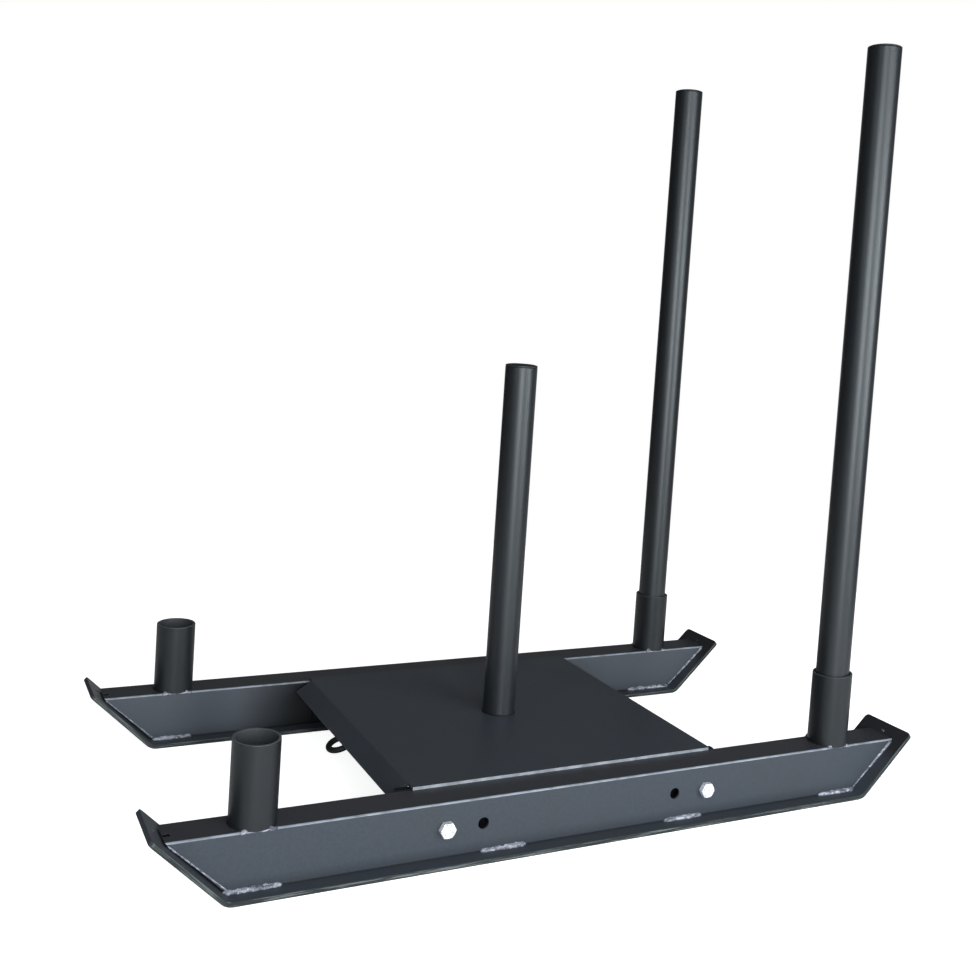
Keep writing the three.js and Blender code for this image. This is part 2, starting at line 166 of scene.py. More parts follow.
class NodeTree:
    """A tree of shader nodes, with a short way to add nodes and join them."""

    def __init__(self, tree):
        self.tree = tree

    def add(self, kind, values=(), **settings):
        node = self.tree.nodes.new(kind)
        for key, value in settings.items():
            setattr(node, key, value)
        for socket, value in dict(values).items():
            if isinstance(value, bpy.types.NodeSocket):
                self.tree.links.new(value, node.inputs[socket])
            else:
                node.inputs[socket].default_value = value
        return node

    def remap(self, value, low, high, new_low=0.0, new_high=1.0):
        """Stretches the range from low to high over the new range, and holds values to it."""
        values = {
            "Value": value,
            "From Min": low,
            "From Max": high,
            "To Min": new_low,
            "To Max": new_high,
        }
        return self.add("ShaderNodeMapRange", values).outputs["Result"]

    def reckon(self, operation, first, second=0.0):
        """A Math node on two values."""
        return self.add("ShaderNodeMath", {0: first, 1: second}, operation=operation).outputs[0]

    def product(self, first, *others):
        for other in others:
            first = self.reckon("MULTIPLY", first, other)
        return first

    def mix(self, share, first, second):
        """A value between two others."""
        return self.add("ShaderNodeMix", {0: share, 2: first, 3: second}).outputs[0]

    def blend(self, share, first, second):
        """A colour between two others."""
        return self.add("ShaderNodeMix", {0: share, 6: first, 7: second}, data_type="RGBA").outputs[2]


class Finish(NodeTree):
    """A material made of nodes, which follow the piece's own coordinates."""

    def __init__(self, name):
        self.material = bpy.data.materials.new(name)
        self.material.use_nodes = True
        super().__init__(self.material.node_tree)
        self.surface = self.tree.nodes["Principled BSDF"]
        self.surroundings = self.add("ShaderNodeTexCoord")
        self.place = self.surroundings.outputs["Object"]

    def grain(self, scale, detail=2.0, stretch=(1.0, 1.0, 1.0), roughness=0.5, place=None):
        """Noise over the piece, with its features about 1 / scale metres wide."""
        moved = self.add("ShaderNodeMapping", {"Vector": place or self.place, "Scale": stretch})
        values = {
            "Vector": moved.outputs["Vector"],
            "Scale": scale,
            "Detail": detail,
            "Roughness": roughness,
        }
        return self.add("ShaderNodeTexNoise", values).outputs["Fac"]

    def bump(self, height, distance, strength, below=None):
        values = {"Height": height, "Distance": distance, "Strength": strength}
        if below:
            values["Normal"] = below
        return self.add("ShaderNodeBump", values).outputs["Normal"]

    def position(self):
        """The x, y and z of a point on the piece."""
        return self.add("ShaderNodeSeparateXYZ", {0: self.place}).outputs

    def facing(self, axis):
        """How far the surface faces along the piece's own x, y or z, from 0 to 1."""
        normal = self.add("ShaderNodeSeparateXYZ", {0: self.surroundings.outputs["Normal"]})
        return self.reckon("ABSOLUTE", normal.outputs[axis])

    def join(self, socket, output):
        self.tree.links.new(output, self.surface.inputs[socket])


flat_shades = ((0.033, 0.040, 0.051), (0.035, 0.040, 0.047), (0.052, 0.058, 0.070))
coat_tint = (0.93, 0.98, 1.0, 1)
peel_depth = 0.00004
pebble_depth = 0.00002


def powder_coat(name, shades=flat_shades, roughness=0.45, gloss=0.28, drawn=None, marks_and_painted_light=None):
    """Satin black powder coat: a faint drift of shade, fine pebbled skin and a soft even sheen.

    Drawn stretches fine lines along a tube. Marks and painted light takes the finish and its colour,
    and gives back the colour with any painted shade in it, then the mask, the painted light and the
    roughness of the edges that are painted lighter.
    """
    finish = Finish(name)
    cool, warm, lighter = [(*shade, 1) for shade in shades]
    drift = finish.remap(finish.grain(16.0, detail=3.0), 0.35, 0.65)
    speck = finish.remap(finish.grain(420.0, detail=3.0, roughness=0.6), 0.3, 0.7)
    colour = finish.blend(drift, cool, warm)
    colour = finish.blend(finish.remap(speck, 0.0, 1.0, 0.0, 0.5), colour, lighter)
    sheen = finish.remap(speck, 0.0, 1.0, roughness - 0.05, roughness + 0.07)
    # Painted shade comes back in the colour, and painted light goes on the masked edges.
    if marks_and_painted_light:
        colour, mask, painted_edge_light, smoother = marks_and_painted_light(finish, colour)
        colour = finish.blend(mask, colour, painted_edge_light)
        sheen = finish.mix(mask, sheen, smoother)
    finish.join("Base Color", colour)
    finish.join("Roughness", sheen)
    peel = finish.bump(finish.grain(260.0, detail=1.0), peel_depth, 0.5)
    pebble = finish.bump(finish.grain(1300.0, detail=2.0), pebble_depth, 0.5, below=peel)
    if drawn:
        lines = finish.grain(620.0, detail=2.0, stretch=drawn)
        pebble = finish.bump(lines, pebble_depth, 0.35, below=pebble)
    finish.join("Normal", pebble)
    finish.surface.inputs["Specular IOR Level"].default_value = gloss
    finish.surface.inputs["Specular Tint"].default_value = coat_tint
    return finish.material


def sheared_sides(finish, colour):
    """Painted floor light on the bar's sides, in greenish grey shear streaks which turn up with its
    ends, and painted shade on the rear tips.
    """
    x, y, z = finish.position()
    # Painted shade: the rear tips turn darker towards their ends.
    rear = finish.remap(x, 0.515, 0.53, 0.0, 0.75)
    colour = finish.blend(rear, colour, (0.0150, 0.0138, 0.0140, 1))
    beyond = finish.reckon("SUBTRACT", finish.reckon("ABSOLUTE", x), streak_turn)
    level = finish.product(z, cos(bar_tip_slope))
    rise = finish.reckon("SUBTRACT", level, finish.product(beyond, sin(bar_tip_slope)))
    depth = finish.reckon("MINIMUM", z, rise)
    along = finish.product(x, streak_stretch)
    place = finish.add("ShaderNodeCombineXYZ", {0: along, 1: depth, 2: y}).outputs[0]
    lines = finish.grain(620.0, detail=3.0, roughness=0.6, place=place)
    streak = finish.remap(lines, 0.50, 0.62)
    # Painted floor light on the sides, broken by dark shear streaks.
    painted_edge_light = finish.blend(streak, (0.016, 0.019, 0.019, 1), (0.105, 0.118, 0.112, 1))
    return colour, finish.remap(finish.facing("Y"), 0.5, 0.8), painted_edge_light, 0.45


bar_coat = powder_coat("sheared_bar_coat", marks_and_painted_light=sheared_sides)


def bend_of(high):
    """Where the sole of a skid bar ends in x, and how high the lower edge of its tip stands."""
    lower_z = high.z - bar_thickness * cos(bar_tip_slope)
    bend_x = high.x - lower_z / tan(bar_tip_slope) - bar_bend_outside * tan(bar_tip_slope / 2)
    return bend_x, lower_z


def skid_bar(name, node):
    low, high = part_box(node)
    slope, down = bar_tip_slope, -pi / 2
    bend_x, lower_z = bend_of(high)
    end_x = high.x
    upper_x = end_x - bar_thickness * sin(slope)
    front, rear = (-bend_x, bar_bend_outside), (bend_x, bar_bend_outside)
    outline = [(-upper_x, high.z), (-end_x, lower_z)]
    outline += arc(front, bar_bend_outside, down - slope, down, bend_steps)
    outline += arc(rear, bar_bend_outside, down, down + slope, bend_steps)
    outline += [(end_x, lower_z), (upper_x, high.z)]
    outline += arc(rear, bar_bend_inside, down + slope, down, bend_steps)
    outline += arc(front, bar_bend_inside, down, down - slope, bend_steps)
    bar = swept(name, outline, "y", low.y, high.y)

    shape = bmesh.new()
    shape.from_mesh(bar.data)
    corners = [e for e in shape.edges if all(abs(v.co.x) > upper_x - bar_edge_ease for v in e.verts)]
    corners = [e for e in corners if abs(e.verts[0].co.y - e.verts[1].co.y) < bar_edge_ease]
    bmesh.ops.bevel(
        shape, geom=corners, offset=bar_tip_corner, segments=8, profile=0.5, affect="EDGES"
    )
    shape.to_mesh(bar.data)
    shape.free()

    drills = []
    for direction in (-1, 1):
        drill = rod((0, 0), tip_hole_radius, "z", -cutter_reach, cutter_reach)
        hole_x = direction * (end_x - tip_hole_inset * cos(slope))
        hole = Vector((hole_x, (low.y + high.y) / 2, lower_z - tip_hole_inset * sin(slope)))
        drill.matrix_world = Matrix.Translation(hole) @ Matrix.Rotation(-direction * slope, 4, "Y")
        drills.append(drill)
    bpy.context.view_layer.update()
    machine(bar, drills)
    ease_edges(bar, bar_edge_ease)
    return bar


for side in runner_sides:
    bar = skid_bar(f"skid_{side}", f"{side}_skid_bar")
    fit(bar, bar_coat, "powder_coated_steel", "sled", f"{side}_skid_bar")

# Runner tubes. Rectangular steel tube, 50 by 70 by 3 mm, standing on edge on each skid bar. Both
# ends are sawn to the slope of the bent tips, four bolt holes are drilled straight across, and a
# small drain hole in the top lets out what runs off in the coating line.
tube_wall = 0.003
tube_corner = 0.0028
tube_bore_corner = 0.0012
seat_gap = 0.0003
bolt_hole_radius = 0.0075
bolt_hole_level = 0.043
bolt_places = (-0.196, 0.196)
spare_hole_places = (-0.145, 0.145)
sawn_edge_ease = 0.0004
mitre_gap = {-1: 0.0024, 1: 0.0003}
drain_hole_radius = 0.0043
drain_hole_inset = 0.0078
drain_hole_offset = -0.006


def rounded_rectangle(middle, width, height, radius, steps):
    """The outline of a rectangle with round corners."""
    points = []
    for turn, (side_u, side_v) in enumerate(((1, 1), (-1, 1), (-1, -1), (1, -1))):
        corner = (
            middle[0] + side_u * (width / 2 - radius),
            middle[1] + side_v * (height / 2 - radius),
        )
        points += arc(corner, radius, turn * pi / 2, (turn + 1) * pi / 2, steps)
    return points


def box_tube(name, axis, middle, width, height, corner, start, end):
    outline = rounded_rectangle(middle, width, height, corner, 10)
    inside = (width - 2 * tube_wall, height - 2 * tube_wall)
    bore = rounded_rectangle(middle, *inside, tube_bore_corner, 10)
    return swept(name, outline, axis, start, end, bore)


def patchy(finish, mask):
    """A mask of edges broken up into stronger and weaker runs."""
    return finish.product(mask, finish.remap(finish.grain(55.0, detail=4.0), 0.3, 0.62, 0.45, 1.0))


def runner_painted_light(finish, colour):
    """Painted highlights on the upper corners, painted light on the inner faces, and painted shade
    on the tops, at the feet, under the deck and inside the tube.
    """
    x, y, z = finish.position()
    aside = finish.reckon("ABSOLUTE", y)
    upward = finish.facing("Z")
    # Painted shade, darker towards the feet.
    foot = finish.remap(z, 0.008, 0.022, 0.5, 0.0)
    colour = finish.blend(foot, colour, (0.016, 0.018, 0.021, 1))

    # Painted light on the inner faces, which lifts the far runner's inner face.
    inner_face = finish.remap(aside, 0.2138, 0.2145, 1.0, 0.0)
    colour = finish.blend(finish.product(inner_face, 0.28), colour, (0.085, 0.093, 0.108, 1))
    # Painted shade under the deck, fading in behind the front flap, and inside the tube through its
    # holes.
    behind_flap = finish.remap(x, -0.345, -0.245, 0.0, 0.95)
    under_deck = finish.product(behind_flap, finish.remap(x, 0.215, 0.235, 1.0, 0.0), inner_face)
    bore = finish.product(
        finish.remap(aside, 0.222, 0.224),
        finish.remap(aside, 0.254, 0.256, 1.0, 0.0),
        finish.remap(z, 0.0754, 0.0757, 1.0, 0.0),
    )
    painted_hidden_shade = finish.reckon("MAXIMUM", under_deck, bore)
    colour = finish.blend(painted_hidden_shade, colour, (0.0035, 0.0035, 0.0040, 1))

    # Painted shade: faces turned up are darker and more neutral.
    painted_top_shade = finish.remap(upward, 0.9, 0.99, 0.0, 0.7)
    colour = finish.blend(painted_top_shade, colour, (0.0320, 0.0314, 0.0345, 1))
    # Painted highlight along the upper corners, broken into runs.
    corner = finish.remap(finish.product(finish.facing("Y"), upward), 0.16, 0.36)
    mask = patchy(finish, finish.product(corner, finish.remap(z, 0.05, 0.06)))
    return colour, mask, (0.24, 0.26, 0.30, 1), 0.25


runner_coat = powder_coat("runner_coat", marks_and_painted_light=runner_painted_light)


def sawn_off(direction, foot, height, middle, reach):
    """The waste beyond the bent skid, which the mitre saw takes off a runner's end."""
    bend_x = bend_of(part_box("left_skid_bar")[1])[0]
    down, radius = -pi / 2, bar_bend_inside - mitre_gap[direction]
    saw_x = bend_x + radius * sin(bar_tip_slope)
    saw_z = bar_bend_outside - radius * cos(bar_tip_slope)
    run = (height + reach) / tan(bar_tip_slope)
    outline = arc((bend_x, bar_bend_outside), radius, down, down + bar_tip_slope, bend_steps)
    outline += [(saw_x + run, saw_z + height + reach)]
    outline += [(saw_x + run + reach, saw_z + height + reach), (saw_x + run + reach, foot - reach)]
    outline += [(bend_x, foot - reach)]
    outline = [(direction * x, z) for x, z in outline]
    return swept("saw", outline, "y", middle - reach * 2, middle + reach * 2)


for side in runner_sides:
    node = f"{side}_runner_tube"
    low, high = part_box(node)
    middle, width, height = (low.y + high.y) / 2, high.y - low.y, high.z - low.z
    start, end = low.x - cutter_reach, high.x + cutter_reach
    section = (middle, (low.z + high.z) / 2)
    tube = box_tube(f"runner_{side}", "x", section, width, height, tube_corner, start, end)
    tools = [sawn_off(direction, low.z, height, middle, cutter_reach) for direction in (-1, 1)]
    for x in bolt_places + spare_hole_places:
        centre = (x, bolt_hole_level)
        tools.append(rod(centre, bolt_hole_radius, "y", middle - width, middle + width, 64))
    drain = (low.x + drain_hole_inset, middle + drain_hole_offset)
    tools.append(rod(drain, drain_hole_radius, "z", high.z - height / 2, high.z + cutter_reach))
    machine(tube, tools)
    ease_edges(tube, sawn_edge_ease, steps=2)
    fit(tube, runner_coat, "powder_coated_steel", "sled", node)

# Welds. MIG beads, coated over: short stitches along the foot of each runner, and a thin bead up
# each sawn end. The ripples stand up and catch the light.
bead_ring_step = 0.0009
bead_sides = 14
bead_ripple_pitch = 0.0026
bead_ripple = 0.20
bead_wander = 0.26
bead_wander_scale = 170
bead_lump = 0.20
bead_lump_scale = 620
bead_spread = 1.15
stitch_radius = 0.0036
stitch_sink = 0.35
outer_stitches = ((-0.472, -0.402), (-0.148, -0.082), (0.130, 0.193), (0.402, 0.472))
inner_stitches = ((-0.466, -0.408), (0.160, 0.215), (0.379, 0.467))
mitre_bead_radius = 0.0011
mitre_bead_sink = 0.0008
mitre_bead_foot = 0.004
mitre_bead_head = 0.003
mitre_bead_back = {-1: 0.0026, 1: 0.0}
mitre_bead_swell = {-1: 0.0, 1: 1.6}


def skin(shape, rings, closed=False):
    """Joins a row of rings into one skin, closed on itself or with a face over each end."""
    for near, far in zip(rings, rings[1:]):
        bridge(shape, near, far)
    if closed:
        bridge(shape, rings[-1], rings[0])
    else:
        shape.faces.new(rings[0])
        shape.faces.new(rings[-1])


def along_path(path, distance):
    """The point and direction at a distance along a path of straight runs."""
    for first, second in zip(path, path[1:]):
        run = (second - first).length
        if distance <= run:
            break
        distance -= run
    direction = (second - first).normalized()
    return first + direction * min(distance, run), direction


def weld_bead(shape, path, radius, facing, seed, closed=False, rough=1.0, swell=0.0):
    """Adds a rippled bead along a path to a mesh. Facing is the side that it bulges to.

    Rough scales its lumps, and swell is how much wider it is at its far end.
    """
    length = sum((b - a).length for a, b in zip(path, path[1:]))
    count = max(6, ceil(length / bead_ring_step))
    shift = Vector((seed * 0.37, seed * 0.11, seed * 0.53))
    rings = []
    for index in range(count if closed else count + 1):
        distance = length * index / count
        centre, direction = along_path(path, distance)
        outward = facing(centre) if callable(facing) else facing
        outward = (outward - direction * outward.dot(direction)).normalized()
        across = direction.cross(outward)
        wander = noise.noise(centre * bead_wander_scale + shift)
        end_taper = 1.0
        if not closed:
            nearest = min(distance, length - distance)
            end_taper = sqrt(min(1.0, (nearest + 0.0002) / (radius * 1.6)))
        ring = []
        for k in range(bead_sides):
            angle = 2 * pi * k / bead_sides
            lag = distance + 0.8 * radius * (1 - cos(angle))
            ripple = abs(sin(pi * lag / bead_ripple_pitch))
            around = Vector((cos(angle), sin(angle), 0)) * 0.9
            lump = noise.noise(centre * bead_lump_scale + shift + around)
            uneven = rough * (bead_wander * wander + bead_lump * lump)
            size = radius * end_taper * (0.82 + bead_ripple * ripple + uneven)
            size *= 1 + swell * distance / length
            offset = outward * (cos(angle) * size) + across * (sin(angle) * size * bead_spread)
            ring.append(shape.verts.new(centre + offset))
        rings.append(ring)
    skin(shape, rings, closed)


def fit_bead(name, shape, material):
    bead = object_from(name, shape)
    bead.data.shade_smooth()
    fit(bead, material, "powder_coated_steel", "sled")


def bead_finish(name):
    """Coated weld beads: dark coat with silvery lavender patches and glints painted on as highlights."""
    finish = Finish(name)
    sheen_patch = finish.remap(finish.grain(240.0, stretch=(0.35, 1.0, 1.0)), 0.36, 0.54)
    glint = finish.remap(finish.grain(300.0, detail=1.0, stretch=(0.4, 1.0, 1.0)), 0.50, 0.66)
    painted_sheen = finish.blend(finish.grain(60.0), (0.160, 0.157, 0.210, 1), (0.157, 0.180, 0.195, 1))
    colour = finish.blend(sheen_patch, (0.042, 0.045, 0.058, 1), painted_sheen)
    finish.join("Base Color", finish.blend(glint, colour, (0.34, 0.345, 0.40, 1)))
    finish.join("Roughness", finish.remap(sheen_patch, 0.0, 1.0, 0.44, 0.32))
    finish.join("Normal", finish.bump(finish.grain(420.0, detail=2.0), 0.0001, 0.5))
    finish.surface.inputs["Specular IOR Level"].default_value = 0.5
    return finish.material


bead_coat = bead_finish("weld_coat")

for side, sign in runner_sides.items():
    low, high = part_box(f"{side}_runner_tube")
    foot_x = high.x - (high.z - low.z) / tan(bar_tip_slope)
    shape = bmesh.new()
    for face, stitches in ((sign, outer_stitches), (-sign, inner_stitches)):
        wall_y = high.y if face > 0 else low.y
        foot_y = wall_y - face * stitch_radius * 0.2
        level = low.z + stitch_radius * stitch_sink
        for number, stitch in enumerate(stitches):
            path = [Vector((x, foot_y, level)) for x in stitch]
            seed = 7 * number + 3 * face + sign
            weld_bead(shape, path, stitch_radius, Vector((0, face, 1)), seed, rough=1.2)
        depth = wall_y - face * mitre_bead_sink
        for direction in (-1, 1):
            back, swell = mitre_bead_back[direction], mitre_bead_swell[direction]
            end_x = high.x - mitre_bead_head - back
            path = [
                Vector((direction * (foot_x - back), depth, low.z + mitre_bead_foot)),
                Vector((direction * end_x, depth, high.z - mitre_bead_head)),
            ]
            tip_facing, seed = Vector((direction * 0.3, face, 0.5)), 19 + face + direction
            weld_bead(shape, path, mitre_bead_radius, tip_facing, seed, rough=0.5, swell=swell)
    fit_bead(f"welds_{side}_runner", shape, bead_coat)

# Sockets. Round steel tube, 57 by 3.5 mm and 100 mm tall, welded upright near the ends of the
# runners, with a highlight painted on each rim and painted light in each bore. The rear pair hold
# the push poles, and the front pair are empty. The weld is a dark ring round the foot, with a lumpy
# run along each corner of the runner, painted light like the other welds.
socket_wall = 0.0035
rim_ease = 0.0009
sawn_unsquare = {("rear", "left"): (0.0040, 0.055)}
foot_bead_radius = 0.0011
foot_bead_inset = 0.004
foot_line_radius = 0.0017
foot_line_sink = 0.0006
foot_lump_radius = 0.0031
round_sides = 96


def turned(name, profile, centre, sides=round_sides):
    """A piece turned about an upright axis through centre, from a closed (radius, height) outline."""
    shape = bmesh.new()
    rings = []
    for radius, height in profile:
        if radius < 1e-7:
            rings.append([shape.verts.new((centre[0], centre[1], height))])
            continue
        points = arc(centre, radius, 0, 2 * pi, sides)[:-1]
        rings.append([shape.verts.new((x, y, height)) for x, y in points])
    for near, far in zip(rings, rings[1:] + rings[:1]):
        if len(near) == len(far) == sides:
            bridge(shape, near, far)
        elif len(near) != len(far):
            for i in range(sides):
                j = (i + 1) % sides
                corners = (near[0], far[j], far[i]) if len(near) == 1 else (near[i], near[j], far[0])
                shape.faces.new(corners)
    return object_from(name, shape)


def tube_outline(outside, inside, low, high, ease):
    """Half the section of an upright round tube with a rounded rim at the top."""
    outline = [(inside, low), (outside, low)]
    outline += arc((outside - ease, high - ease), ease, 0, pi / 2, 5)
    outline += arc((inside + ease, high - ease), ease, pi / 2, pi, 5)
    return outline


def upright(node):
    """The centre and the outer radius of a solid that is round about an upright axis."""
    low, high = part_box(node)
    return ((low.x + high.x) / 2, (low.y + high.y) / 2), (high.x - low.x) / 2


drawn_upright = (1.0, 1.0, 0.02)
socket_shades = ((0.0068, 0.0082, 0.0100), (0.0072, 0.0082, 0.0092), (0.0116, 0.0132, 0.0152))
socket_coat = powder_coat("socket_coat", socket_shades, 0.40, 0.46, drawn_upright)
# Painted light inside the bore, lighter than the outside.
bore_painted_light_shades = ((0.030, 0.033, 0.036), (0.035, 0.037, 0.039), (0.057, 0.060, 0.063))
bore_coat = powder_coat("socket_bore_coat", bore_painted_light_shades, 0.5, 0.3)
# Painted highlight on the rims.
rim_painted_highlight_shades = ((0.060, 0.065, 0.070), (0.064, 0.068, 0.071), (0.090, 0.094, 0.098))
rim_painted_highlight_coat = powder_coat("socket_rim_coat", rim_painted_highlight_shades, 0.45, 0.3)


def socket_tube(end_name, side, node):
    low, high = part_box(node)
    centre, outside = upright(node)
    inside = outside - socket_wall
    half_way = (low.z + high.z) / 2
    outline = tube_outline(outside, inside, low.z, high.z, rim_ease)
    socket = turned(f"socket_{end_name}_{side}", outline, centre)
    raised, slant = sawn_unsquare.get((end_name, side), (0.0, 0.0))
    for vertex in socket.data.vertices:
        if vertex.co.z > half_way:
            out_of_square = vertex.co.x - centre[0] - (vertex.co.y - centre[1]) / 2
            vertex.co.z += raised + slant * out_of_square
    smooth_faces(socket)
    fit(socket, socket_coat, "powder_coated_steel", "sled", node)
    socket.data.materials.append(bore_coat)
    socket.data.materials.append(rim_painted_highlight_coat)
    for face in socket.data.polygons:
        reach = sqrt((face.center.x - centre[0]) ** 2 + (face.center.y - centre[1]) ** 2)
        if reach < inside + rim_ease * 0.4:
            face.material_index = 1
        elif face.center.z > half_way and face.normal.z > 0.6:
            face.material_index = 2


def foot_ring(name, foot, outside, half_width, seed):
    """The ring of weld round a socket's foot, held in over the runner's flat top."""
    below = foot - Vector((0, 0, 0.03))
    limit = half_width - foot_bead_inset
    path = []
    for x, y in arc((0, 0), outside, 0, 2 * pi, 120):
        path.append(foot + Vector((x, max(-limit, min(limit, y)), -0.0002)))
    shape = bmesh.new()
    weld_bead(shape, path, foot_bead_radius, lambda point: point - below, seed, closed=True)
    fit_bead(name, shape, socket_coat)


def foot_weld(name, foot, outside, half_width, seed):
    """The runs of weld along the runner's two corners, with a lump at each end of them."""
    chord = sqrt(outside**2 - half_width**2)
    shape = bmesh.new()
    for face in (-1, 1):
        edge = foot + Vector((0, face * (half_width - foot_line_sink), 0))
        turns = ((-chord - 0.007, -0.0016), (-chord, -0.0004), (chord + 0.010, -0.0012))
        line = [edge + Vector((x, 0, drop)) for x, drop in turns]
        over_edge = Vector((0, face, 0.7))
        weld_bead(shape, line, foot_line_radius, over_edge, seed + face, rough=1.8)
        lumps = ((-chord - 0.001, 0.0042, 1.1), (chord + 0.001, 0.0026, 0.85))
        for lump_x, reach, swollen in lumps:
            lump = [edge + Vector((lump_x + step * reach, -face * 0.001, 0.0008)) for step in (-1, 1)]
            size = foot_lump_radius * swollen
            weld_bead(shape, lump, size, over_edge, seed + 3 * face, rough=2.2)
    fit_bead(name, shape, bead_coat)


for end_name in ("front", "rear"):
    for side, sign in runner_sides.items():
        node = f"{end_name}_{side}_socket"
        socket_tube(end_name, side, node)
        centre, outside = upright(node)
        runner_low, runner_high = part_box(f"{side}_runner_tube")
        half_width = (runner_high.y - runner_low.y) / 2
        foot = Vector((*centre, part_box(node)[0].z))
        seed = 31 + 5 * sign + (2 if end_name == "rear" else 0)
        foot_ring(f"foot_ring_{node}", foot, outside, half_width, seed)
        foot_weld(f"weld_{node}", foot, outside, half_width, seed)

# Push poles. Drawn steel tube, 48 by 3 mm and about a metre long, standing loose in the rear
# sockets. A black polyethylene plug with barbed ribs closes the top of each.
pole_wall = 0.003
plug_lip = 0.0012
plug_flat_radius = 0.011
plug_clearance = 0.0003
plug_wall = 0.0018
plug_dome_steps = 18
fin_count = 3
fin_reach = 0.0014
fin_thickness = 0.0012
fin_pitch = 0.0055

tube_shades = ((0.0085, 0.0102, 0.0124), (0.0090, 0.0102, 0.0115), (0.0145, 0.0165, 0.0190))
tube_coat = powder_coat("drawn_tube_coat", tube_shades, 0.385, 0.56, drawn_upright)


def round_pole(name, node):
    low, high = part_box(node)
    centre, outside = upright(node)
    outline = tube_outline(outside, outside - pole_wall, low.z, high.z, rim_ease)
    pole = turned(name, outline, centre)
    smooth_faces(pole)
    return pole


def plug_cap(name, node, seat):
    low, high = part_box(node)
    centre, head = upright(node)
    barrel = head - pole_wall - plug_clearance - fin_reach
    outline = [(0, seat), (barrel - plug_wall, seat), (barrel - plug_wall, low.z), (barrel, low.z)]
    for fin in range(fin_count):
        foot = low.z + fin_thickness + fin * fin_pitch
        outline += [(barrel, foot), (barrel + fin_reach, foot + fin_thickness)]
        outline += [(barrel, foot + fin_thickness)]
    edge = plug_lip / 3
    outline += [(barrel, seat), (head - edge, seat), (head, seat + edge)]
    rise = high.z - seat - plug_lip
    for step in range(plug_dome_steps + 1):
        angle = step / plug_dome_steps * pi / 2
        radius = plug_flat_radius + (head - plug_flat_radius) * cos(angle)
        outline.append((radius, seat + plug_lip + rise * sin(angle)))
    outline.append((0, high.z))
    cap = turned(name, outline, centre)
    smooth_faces(cap, radians(40))
    return cap


def moulded_plastic(name):
    """Black polyethylene: slightly warmer than the coat, with a fine moulded grain."""
    finish = Finish(name)
    cloud = finish.remap(finish.grain(90.0, detail=3.0), 0.3, 0.7)
    finish.join("Base Color", finish.blend(cloud, (0.014, 0.016, 0.018, 1), (0.023, 0.025, 0.028, 1)))
    finish.join("Roughness", finish.remap(finish.grain(700.0), 0.3, 0.7, 0.42, 0.56))
    finish.join("Normal", finish.bump(finish.grain(1500.0), 0.00002, 0.5))
    finish.surface.inputs["Specular IOR Level"].default_value = 0.4
    return finish.material


plastic = moulded_plastic("plug_plastic")

for side in runner_sides:
    body = f"{side}_pole"
    pole = round_pole(f"pole_{side}", f"{side}_push_pole")
    fit(pole, tube_coat, "powder_coated_steel", body, f"{side}_push_pole")
    pole_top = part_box(f"{side}_push_pole")[1].z
    cap = plug_cap(f"cap_{side}_pole", f"{side}_pole_cap", pole_top + seat_gap)
    fit(cap, plastic, "black_moulding", body, f"{side}_pole_cap")

# Deck plate. 4 mm sheet steel over both runners, with a flap folded down at the front and rear so
# that it doesn't catch. The corners of the flaps are notched clear of the runners.
deck_thickness = 0.004
deck_fold_inside = 0.003
deck_flap_slope = radians(34)
deck_flap_length = 0.0285
deck_flap_inset = 0.010
deck_post_clearance = 0.0005
deck_edge_ease = 0.0005


def cut_sides(finish, colour):
    """Painted highlights on the outer cut sides, and painted shade on the sides in the notches."""
    outermost = finish.remap(finish.reckon("ABSOLUTE", finish.position()[1]), 0.208, 0.212)
    side = finish.remap(finish.facing("Y"), 0.35, 0.6)
    # Painted shade on the notch sides.
    notch = finish.product(side, finish.remap(outermost, 0.0, 1.0, 0.6, 0.0))
    colour = finish.blend(notch, colour, (0.004, 0.004, 0.005, 1))
    # Painted highlight along the outer cut sides, broken into runs.
    mask = patchy(finish, finish.product(side, outermost))
    return colour, mask, (0.27, 0.285, 0.31, 1), 0.32


deck_coat = powder_coat("cut_sheet_coat", marks_and_painted_light=cut_sides)

low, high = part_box("deck_plate")
deck_top, deck_middle = high.z, (low.x + high.x) / 2
fold_outside = deck_fold_inside + deck_thickness
edge_x = (high.x - low.x) / 2
edge_z = deck_top - deck_flap_length * sin(deck_flap_slope)
fold_x = edge_x - deck_flap_length * cos(deck_flap_slope) - fold_outside * tan(deck_flap_slope / 2)
under_x = edge_x - deck_thickness * sin(deck_flap_slope)
under_z = edge_z - deck_thickness * cos(deck_flap_slope)
rear_fold, front_fold = (fold_x, deck_top - fold_outside), (-fold_x, deck_top - fold_outside)
up, slope = pi / 2, deck_flap_slope
outline = [(under_x, under_z), (edge_x, edge_z)]
outline += arc(rear_fold, fold_outside, up - slope, up, bend_steps)
outline += arc(front_fold, fold_outside, up, up + slope, bend_steps)
outline += [(-edge_x, edge_z), (-under_x, under_z)]
outline += arc(front_fold, deck_fold_inside, up + slope, up, bend_steps)
outline += arc(rear_fold, deck_fold_inside, up, up - slope, bend_steps)
outline = [(deck_middle + x, z) for x, z in outline]
deck = swept("deck", outline, "y", low.y, high.y)

